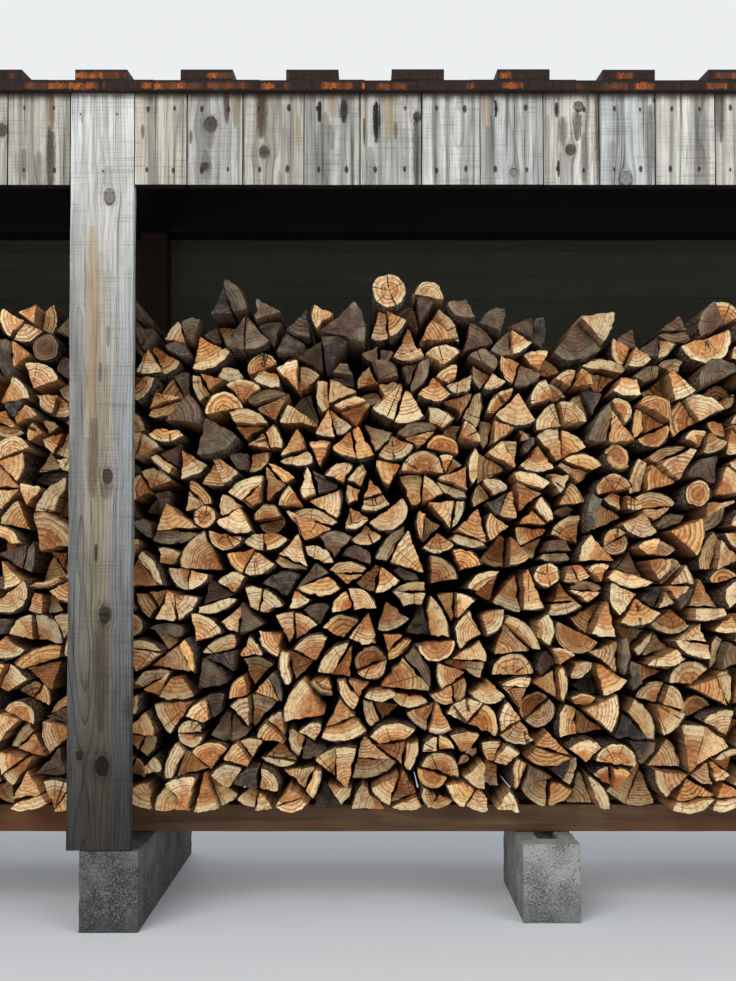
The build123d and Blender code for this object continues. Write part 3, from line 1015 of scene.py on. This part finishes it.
def make_log(stack, outline, pith, reach, front, back, rng):
    """Adds one stick: its bark side rounded, its split edges rough and chipped, its ends sawn."""
    middle = middle_of(outline)
    log = bmesh.new()
    bark = log.verts.layers.int.new("bark")
    corners = [log.verts.new(corner) for corner in outline]
    for a, b in zip(corners, corners[1:] + corners[:1]):
        at_bark = all((place - pith).length > BARK_FROM * reach for place in (a.co, b.co, (a.co + b.co) / 2))
        edge = log.edges.new((a, b))
        pieces = max(2, round(edge.calc_length() / EDGE_PIECE))
        for left in range(pieces, 1, -1):
            new_vert = bmesh.utils.edge_split(edge, a, 1 - 1 / left)[1]
            new_vert[bark] = int(at_bark)
            edge = next(link for link in new_vert.link_edges if link.other_vert(new_vert) == a)
        if at_bark:
            a[bark] = b[bark] = 1
    seed = Vector((rng.uniform(0, 90), 0, rng.uniform(0, 90)))
    shrink, turn = 1 - rng.uniform(0.01, 0.07), Matrix.Rotation(rng.gauss(0, 0.05), 3, "Y")
    chip = rng.choice(outline) if rng.random() < 0.4 else None
    for vert in log.verts:
        away = vert.co - pith
        if vert[bark] and away.length > 0:
            vert.co += away * 0.85 * max(0, reach / away.length - 1)
        inward = 0.0014 + 0.0055 * max(-0.3, noise.noise(vert.co * 38 + seed)) + rng.uniform(-0.001, 0.0042)
        if chip and (vert.co - chip).length < CHIP_SIZE:
            inward += rng.uniform(0.001, 0.006)
        vert.co += (middle - vert.co).normalized() * inward
    bmesh.ops.smooth_vert(log, verts=log.verts[:], factor=0.1, use_axis_x=True, use_axis_z=True)
    front_verts = log.verts[:]
    front_loop = loop = log.edges[:]
    for vert in front_verts:
        vert.co = middle + (vert.co - middle) * DRAWN_IN
    length, twist = back - front, rng.gauss(0, 0.1)
    for share in (0.0, 0.45, 1.0):
        grown = bmesh.ops.extrude_edge_only(log, edges=loop)["geom"]
        loop = [g for g in grown if isinstance(g, bmesh.types.BMEdge)]
        change = 1 / DRAWN_IN if share == 0 else rng.uniform(0.99, 1.04) / shrink
        if share == 1:
            change *= 1.04
        drift = Vector((rng.uniform(-1, 1), 0, rng.uniform(-1, 1))) * (0.0015 if share else 0)
        turned = Matrix.Rotation(twist if share else 0, 3, "Y")
        for vert in (g for g in grown if isinstance(g, bmesh.types.BMVert)):
            vert.co = middle + turned @ (vert.co - middle) * change + drift
            vert.co.y = 0.0014 if share == 0 else length * share
    bmesh.ops.contextual_create(log, geom=front_loop)
    bmesh.ops.contextual_create(log, geom=loop)
    for vert in front_verts:
        if chip and (vert.co - chip).length < CHIP_SLOPE:
            vert.co.y += rng.uniform(0, 0.0035)
    tilt = Vector((rng.gauss(0, 0.08), 0, rng.gauss(0, 0.08)))
    for vert in front_verts:
        vert.co.y += tilt.dot(vert.co - middle)

    tone, make = log_character(middle, reach, rng)
    deepest = min(v.co.y for v in log.verts)
    layers = [stack.verts.layers.float_vector[name] for name in LOG_LAYERS]
    twins = {}
    for vert in log.verts:
        flat = Vector((vert.co.x - middle.x, 0, vert.co.z - middle.z))
        place = middle + turn @ flat * shrink
        twin = stack.verts.new((place.x, vert.co.y + front - deepest, place.z))
        twin[layers[0]] = Vector((vert.co.x - pith.x, vert.co.y, vert.co.z - pith.z))
        twin[layers[1]] = tone
        twin[layers[2]] = make
        twins[vert] = twin
    for face in log.faces:
        twin = stack.faces.new([twins[v] for v in face.verts])
        across = max(v.co.y for v in face.verts) - min(v.co.y for v in face.verts)
        is_end = len(face.verts) > 4
        on_bark = all(v[bark] for v in face.verts)
        twin.material_index = 0 if is_end or across < 0.02 else 2 if on_bark else 1
        twin.smooth = not is_end and across > 0.02
    log.free()


def firewood(finishes):
    """Every CAD log as one or two split sticks, some set back a little further."""
    for bay in ("left", "right"):
        for lift in ("bottom", "lower", "upper", "top"):
            node = f"firewood_{bay}_{lift}"
            rng = random.Random(node)
            stack = bmesh.new()
            for name in LOG_LAYERS:
                stack.verts.layers.float_vector.new(name)
            for outline, front, back in log_outlines(node):
                pith = pith_of(outline)
                reach = max((corner - pith).length for corner in outline)
                sticks = [outline]
                if rng.random() < min(0.88, max(0.08, (area_of(outline) - 0.0014) / 0.0038)):
                    sticks = split_again(outline, pith, rng)
                for i, stick in enumerate(sorted(sticks, key=lambda s: rng.random())):
                    recess = rng.uniform(0.004, 0.045) if i else 0
                    if i and rng.random() < 0.2:
                        recess += rng.uniform(0.03, 0.07)
                    make_log(stack, stick, pith, reach, front + recess, back, rng)
            bmesh.ops.recalc_face_normals(stack, faces=stack.faces[:])
            new_piece(f"split_logs_{bay}_{lift}", stack, finishes, "firewood", node)


def front_boards():
    """Posts and fascia in grey boards, with the knots, stains and nails of their fronts."""
    # damp is the fascia boards' end finish: damp end grain with painted shade.
    post, board, damp = post_plank(), grey_board(), damp_and_shaded_board_ends()
    post_knots, post_stains = placed_spots(POST_KNOTS, POST_STAINS)
    for name in ("left", "middle", "right"):
        low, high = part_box(f"front_post_{name}")
        if name == "middle":
            knots, stains = post_knots, post_stains
        else:
            knots, stains = chance_spots(random.Random(f"post {name}"), low, high)
        worn_timber(
            f"grey_post_{name}", f"front_post_{name}", [post], "grey_timber",
            chamfer=0.0025, waver=0.0009, step=FACE_STEP, cuts=150, spots=(knots, stains, []),
        )
    knots, stains = placed_spots(FASCIA_KNOTS, FASCIA_STAINS)
    seen_from, seen_to = (on_front(column, NAIL_ROWS[0])[0] for column in (0, 2 * MIDDLE_COLUMN))
    for bay in ("left", "right"):
        low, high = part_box(f"fascia_boards_{bay}")
        chance = chance_spots(random.Random(f"fascia {bay}"), low, high)
        more_knots, more_stains = ([s for s in spots if not seen_from < s[0] < seen_to] for spots in chance)
        worn_timber(
            f"grey_fascia_{bay}", f"fascia_boards_{bay}", [board, damp], "grey_timber",
            chamfer=0.0012, waver=0.0005, step=FACE_STEP, cuts=20, adjust=uneven_fascia, end_axes=(0, 2),
            spots=(knots + more_knots, stains + more_stains, fascia_nails(bay)),
        )
        slats = f"side_slats_{bay}", f"end_slats_{bay}"
        worn_timber(*slats, [board], "grey_timber", chamfer=0.002, spots=([], [], []))


def timbers():
    """Beams, sills, back boards and roof with their finishes."""
    black = stained_timber("black_stained_beam", rgb(30, 28, 27), rgb(44, 40, 38), rgb(18, 17, 16), 0.3)
    brown = stained_timber("brown_stained_post", rgb(48, 34, 24), rgb(62, 46, 34), rgb(28, 20, 15), 0.3)
    sill = stained_timber(
        "worn_brown_sill", rgb(114, 86, 64), rgb(150, 120, 90), rgb(66, 40, 26), 0.7, 0.8, rgb(118, 70, 46)
    )
    olive = stained_timber("dark_olive_boards", rgb(82, 83, 70), rgb(90, 91, 77), rgb(66, 67, 56), 0.2, 0.75)
    roof = stained_timber("dark_stained_roof", rgb(52, 42, 36), rgb(78, 60, 48), rgb(30, 25, 23), 0.5, 0.8)
    roof_ends = {}
    for layer, bare_share in (("lower", 0.6), ("upper", 0.5)):
        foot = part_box(f"roof_{layer}_boards_left")[0].z
        roof_ends[layer] = roof_board_ends(f"{layer}_roof_board_ends", foot, bare_share)
    for name in ("left", "middle", "right"):
        worn_timber(f"brown_post_{name}", f"rear_post_{name}", [brown], "brown_timber", chamfer=0.003)
        worn_timber(f"tie_beam_{name}", f"cross_beam_{name}", [black], "dark_timber", chamfer=0.003)
    for bay in ("left", "right"):
        for side in ("front", "rear"):
            bearer = f"{side}_bearer_{bay}", f"{side}_sill_{bay}"
            worn_timber(*bearer, [sill], "brown_timber", chamfer=0.0035, waver=0.001)
        worn_timber(f"fascia_header_{bay}", f"front_header_{bay}", [black], "dark_timber", chamfer=0.003)
        worn_timber(f"top_beam_{bay}", f"rear_beam_{bay}", [black], "dark_timber", chamfer=0.003)
        worn_timber(
            f"olive_cladding_{bay}", f"back_boards_{bay}", [olive], "olive_timber",
            chamfer=0.002, waver=0, step=0.3, adjust=close_cladding,
        )
        for layer in ("lower", "upper"):
            finishes = [roof, roof_ends[layer]]
            worn_timber(
                f"{layer}_roofing_{bay}", f"roof_{layer}_boards_{bay}", finishes, "roof_timber",
                chamfer=0.001, waver=0, adjust=uneven_roof, end_axes=(1,), grain_axes=(0, 2, 1),
            )


# Floor, light and camera


def pale_floor(background):
    """A pale floor that fades into the background far away."""
    f = Finish("pale_floor", 0.95)
    f.finish(rgb(240, 242, 244))
    away = f.length(f.place())
    faded = f.step(away, *FLOOR_FADES) * f.seen_ray()
    far_floor = f.add("ShaderNodeEmission", {"Color": background, "Strength": 1.0})
    surface = f.add("ShaderNodeMixShader", {0: faded, 1: f.shader.outputs[0], 2: far_floor})
    f.put(f.nodes["Material Output"].inputs["Surface"], surface)
    return f.material


def studio():
    """A pale floor that runs out to a pale background, under soft light."""
    scene = bpy.context.scene
    scene.view_settings.view_transform = "Standard"
    floor_shape = bmesh.new()
    bmesh.ops.create_grid(floor_shape, x_segments=1, y_segments=1, size=40)
    mesh = bpy.data.meshes.new("floor")
    floor_shape.to_mesh(mesh)
    floor_shape.free()
    floor = bpy.data.objects.new("floor", mesh)
    scene.collection.objects.link(floor)
    background = rgb(236, 238, 240)
    mesh.materials.append(pale_floor(background))

    world = bpy.data.worlds.new("pale_surround")
    scene.world = world
    w = Nodes(world)
    sky = w.add("ShaderNodeBackground", {"Color": rgb(226, 232, 240), "Strength": 0.62})
    seen = w.add("ShaderNodeBackground", {"Color": background, "Strength": 1.0})
    blend = w.add("ShaderNodeMixShader", {0: w.seen_ray(), 1: sky, 2: seen})
    w.put(w.nodes["World Output"].inputs["Surface"], blend)

    for name, place, aim, size, power in (
        ("key", (-2.5, -6.0, 5.5), (0, 0, 1), 4.5, 260),
        ("fill", (4.5, -4.5, 2.6), (0, 0, 0.9), 4.0, 90),
        ("rear", (0.0, 6.0, 4.0), (0, 0, 1), 4.0, 90),
    ):
        light = bpy.data.lights.new(name, "AREA")
        light.size = size
        light.energy = power
        lamp = bpy.data.objects.new(name, light)
        lamp.location = place
        lamp.rotation_euler = (Vector(aim) - Vector(place)).to_track_quat("-Z", "Y").to_euler()
        scene.collection.objects.link(lamp)

    camera = bpy.data.cameras.new("camera")
    camera.sensor_fit = "VERTICAL"
    camera.sensor_height = 36
    camera.lens = FOCAL_PIXELS / IMAGE_HEIGHT * camera.sensor_height
    camera.shift_y = (AXIS_ROW - IMAGE_HEIGHT / 2) / IMAGE_HEIGHT
    eye = bpy.data.objects.new("camera", camera)
    eye.location = (EYE_ACROSS, front_y - EYE_DISTANCE, EYE_HEIGHT)
    eye.rotation_euler = (math.pi / 2 + TILT_UP, 0, 0)
    scene.collection.objects.link(eye)
    scene.camera = eye


front_boards()
timbers()
blocks()
fastenings(iron())
firewood([log_ends(), log_sides(), log_bark()])
studio()
